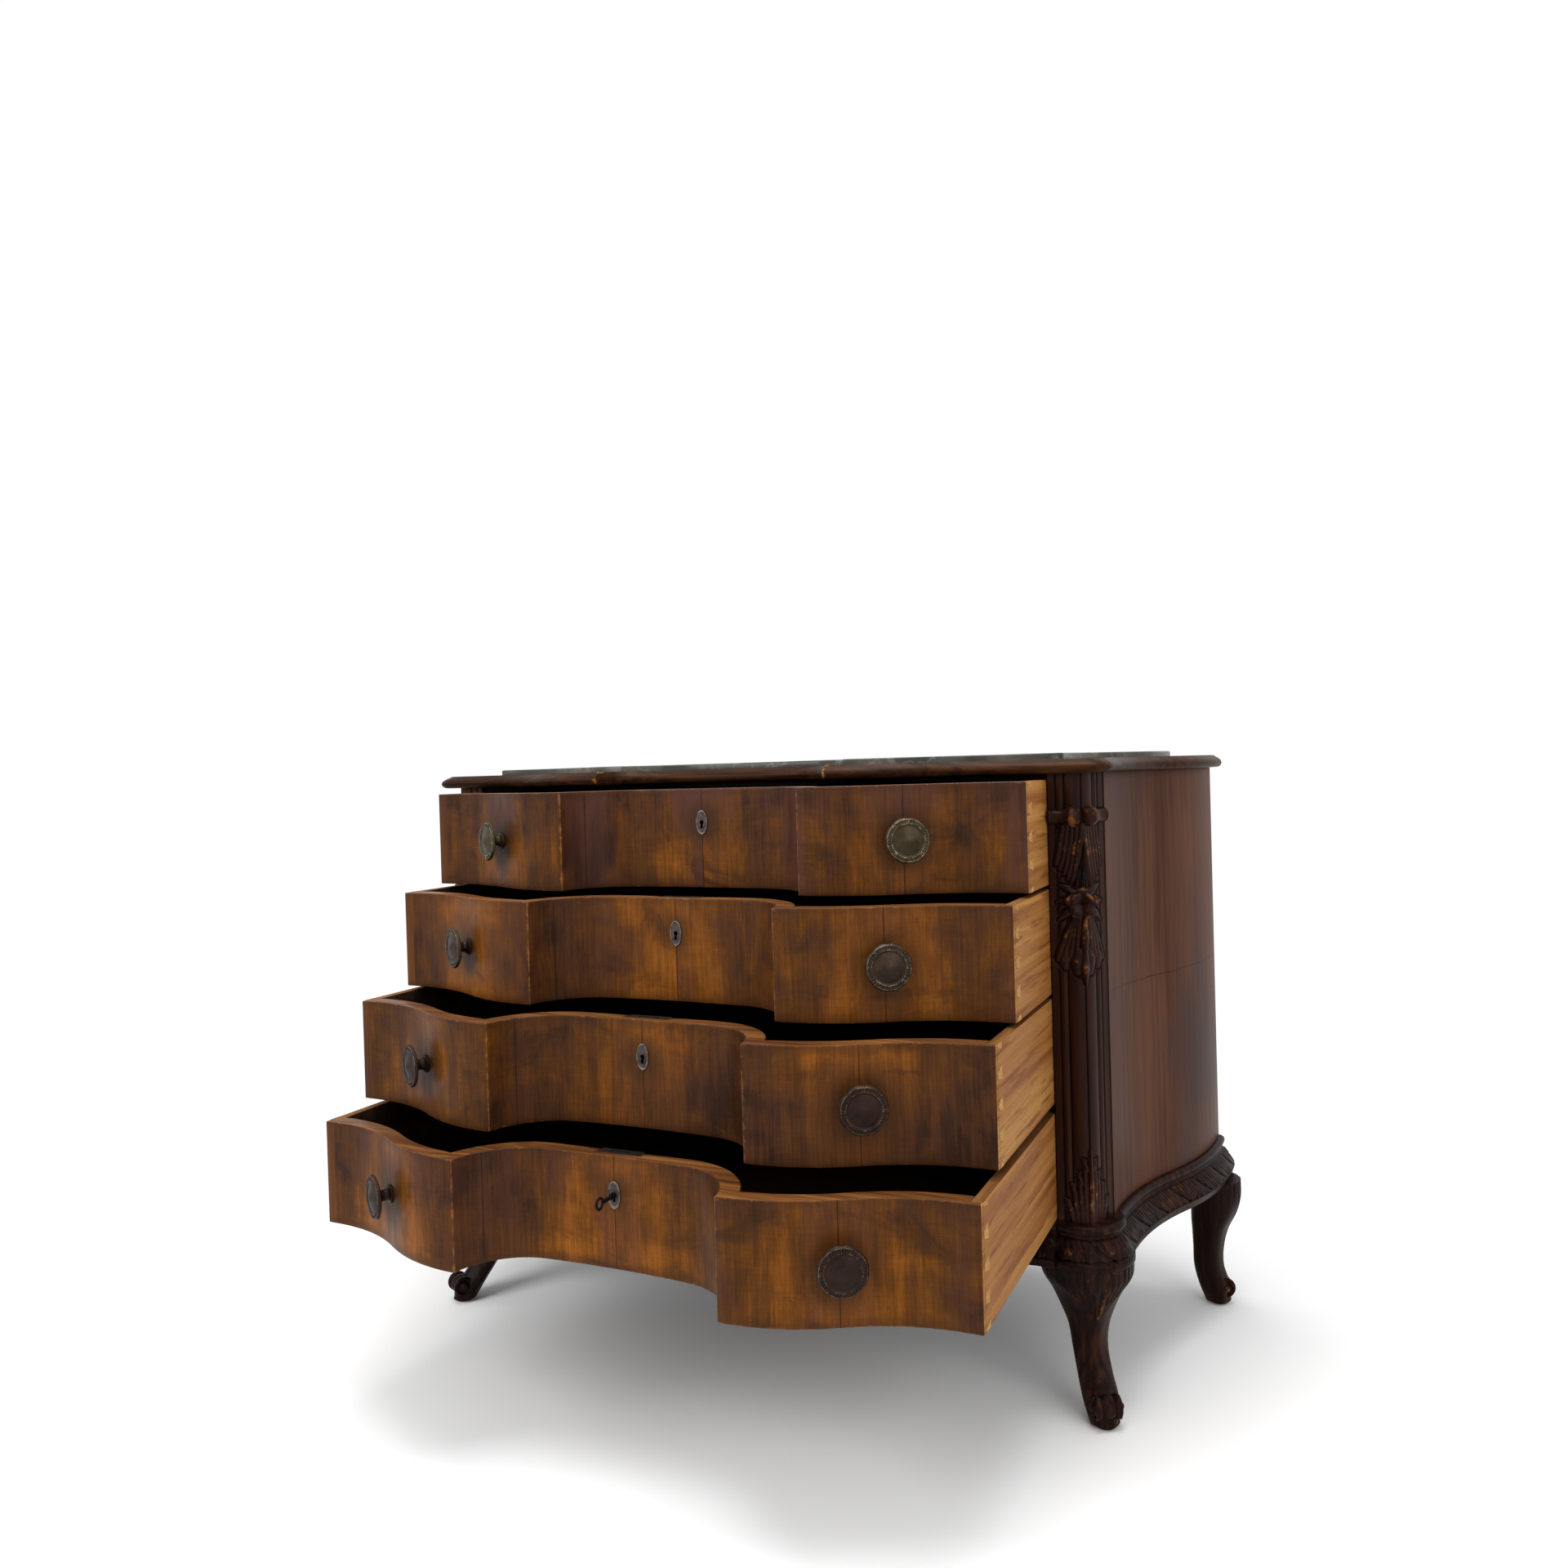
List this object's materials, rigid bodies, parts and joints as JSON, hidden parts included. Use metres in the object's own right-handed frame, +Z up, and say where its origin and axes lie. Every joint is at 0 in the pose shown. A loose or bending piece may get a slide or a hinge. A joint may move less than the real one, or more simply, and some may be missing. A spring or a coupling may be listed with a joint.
{
  "type": "chest of drawers",
  "caption": "Serpentine-fronted chest of drawers on cabriole legs with reeded corner posts, an inset marble top, mushroom knobs and lockable drawers drawn partly open.",
  "frame": {"origin": "on the floor under the middle of the whole chest's box as it stands with its drawers open", "axes": "+X to the chest's right seen from in front, +Y to its back, +Z up; the drawers open along -Y"},
  "size_m": [1.313, 0.8834, 0.8695],
  "materials": {
    "veneer": "waxed figured walnut veneer",
    "walnut": "dark polished walnut",
    "carved_walnut": "dark carved walnut",
    "pine": "bare pine",
    "marble": "polished dark marble",
    "brass": "dark patinated brass",
    "iron": "dull iron"
  },
  "bodies": {
    "case": {"top_frame": "walnut", "marble_slab": "marble", "upper_deck": "pine", "dust_board_upper": "pine", "dust_board_middle": "pine", "dust_board_lower": "pine", "bottom_board": "pine", "back_panel": "pine", "base_front": "carved_walnut", "post_left": "carved_walnut", "post_right": "carved_walnut", "side_panel_left": "walnut", "side_panel_right": "walnut", "inner_side_left": "pine", "inner_side_right": "pine", "rear_post_left": "pine", "rear_post_right": "pine", "base_left": "carved_walnut", "base_right": "carved_walnut", "leg_front_left": "carved_walnut", "leg_front_right": "carved_walnut", "leg_back_left": "carved_walnut", "leg_back_right": "carved_walnut"},
    "drawer_1": {"drawer_1_front": "veneer", "drawer_1_side_left": "pine", "drawer_1_side_right": "pine", "drawer_1_back": "pine", "drawer_1_bottom": "pine", "drawer_1_knobs": "brass", "drawer_1_escutcheon": "brass", "drawer_1_lock_case": "iron"},
    "bolt_1": {"drawer_1_lock_bolt": "iron"},
    "drawer_2": {"drawer_2_front": "veneer", "drawer_2_side_left": "pine", "drawer_2_side_right": "pine", "drawer_2_back": "pine", "drawer_2_bottom": "pine", "drawer_2_knobs": "brass", "drawer_2_escutcheon": "brass", "drawer_2_lock_case": "iron"},
    "bolt_2": {"drawer_2_lock_bolt": "iron"},
    "drawer_3": {"drawer_3_front": "veneer", "drawer_3_side_left": "pine", "drawer_3_side_right": "pine", "drawer_3_back": "pine", "drawer_3_bottom": "pine", "drawer_3_knobs": "brass", "drawer_3_escutcheon": "brass", "drawer_3_lock_case": "iron"},
    "bolt_3": {"drawer_3_lock_bolt": "iron"},
    "drawer_4": {"drawer_4_front": "veneer", "drawer_4_side_left": "pine", "drawer_4_side_right": "pine", "drawer_4_back": "pine", "drawer_4_bottom": "pine", "drawer_4_knobs": "brass", "drawer_4_escutcheon": "brass", "drawer_4_lock_case": "iron"},
    "bolt_4": {"drawer_4_lock_bolt": "iron"},
    "key": {"key": "iron"}
  },
  "joints": [
    {"name": "drawer_1_slide", "type": "slide", "parent": "case", "child": "drawer_1", "axis": [0, -1, 0], "range_m": [-0.106, 0.294]},
    {"name": "bolt_1_slide", "type": "slide", "parent": "drawer_1", "child": "bolt_1", "axis": [0, 0, 1], "range_m": [0, 0.0045]},
    {"name": "drawer_2_slide", "type": "slide", "parent": "case", "child": "drawer_2", "axis": [0, -1, 0], "range_m": [-0.18703, 0.21297]},
    {"name": "bolt_2_slide", "type": "slide", "parent": "drawer_2", "child": "bolt_2", "axis": [0, 0, 1], "range_m": [0, 0.0045]},
    {"name": "drawer_3_slide", "type": "slide", "parent": "case", "child": "drawer_3", "axis": [0, -1, 0], "range_m": [-0.27988, 0.12012]},
    {"name": "bolt_3_slide", "type": "slide", "parent": "drawer_3", "child": "bolt_3", "axis": [0, 0, 1], "range_m": [0, 0.0045]},
    {"name": "drawer_4_slide", "type": "slide", "parent": "case", "child": "drawer_4", "axis": [0, -1, 0], "range_m": [-0.3539, 0.0461]},
    {"name": "bolt_4_slide", "type": "slide", "parent": "drawer_4", "child": "bolt_4", "axis": [0, 0, 1], "range_m": [0, 0.0045]},
    {"name": "key_turn", "type": "hinge", "parent": "drawer_4", "child": "key", "pos_m": [0, -0.3672, 0.34625], "axis": [0, -1, 0], "range_deg": [0, 180]}
  ],
  "couplings": [
    {"joint": "key_turn", "follows": "bolt_4_slide", "rad_per_m": 698.13}
  ]
}
